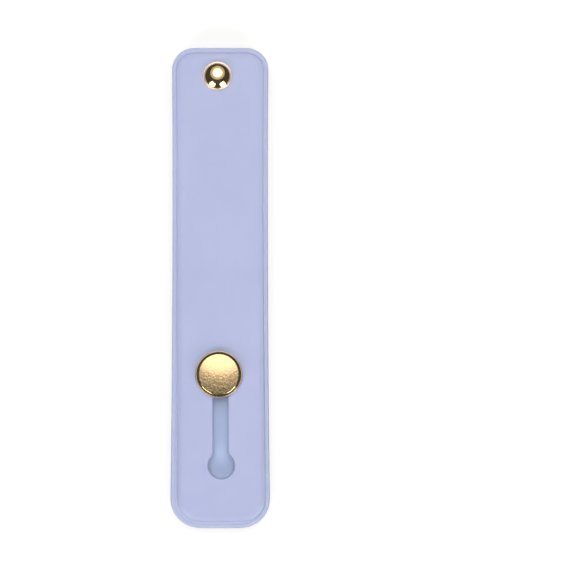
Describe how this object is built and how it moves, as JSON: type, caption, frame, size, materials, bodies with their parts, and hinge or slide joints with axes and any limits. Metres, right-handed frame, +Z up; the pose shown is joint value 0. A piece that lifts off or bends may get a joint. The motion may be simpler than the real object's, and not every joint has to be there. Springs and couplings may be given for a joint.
{
  "type": "phone finger strap",
  "caption": "Stick-on silicone finger strap for a phone: a flat band held by a domed stud at one end, with a keyhole slot that slides on a flat gold button at the other.",
  "frame": {"origin": "under the middle of the band's length and width, on the surface that both release liners rest on", "axes": "+X across the band, +Y along it towards the domed stud, +Z up through the stud and the button"},
  "size_m": [0.0198, 0.095, 0.006],
  "materials": {
    "silicone": "matte soft-touch lavender silicone",
    "gold_plate": "bright gold plating, lightly pitted on the flat button",
    "tinted_plastic": "satin lavender plastic",
    "adhesive_tape": "soft white double-sided adhesive",
    "release_liner": "smooth pale silicone-coated paper"
  },
  "bodies": {
    "band": {"silicone_band": "silicone", "domed_stud": "gold_plate", "stud_screw": "gold_plate", "anchor_plate": "tinted_plastic", "anchor_tape": "adhesive_tape", "anchor_liner": "release_liner"},
    "slider": {"flat_button": "gold_plate", "button_screw": "gold_plate", "slider_plate": "tinted_plastic", "slider_tape": "adhesive_tape", "slider_liner": "release_liner"}
  },
  "joints": [
    {"name": "button_slide", "type": "slide", "parent": "band", "child": "slider", "axis": [0, -1, 0], "range_m": [0, 0.0193]}
  ]
}
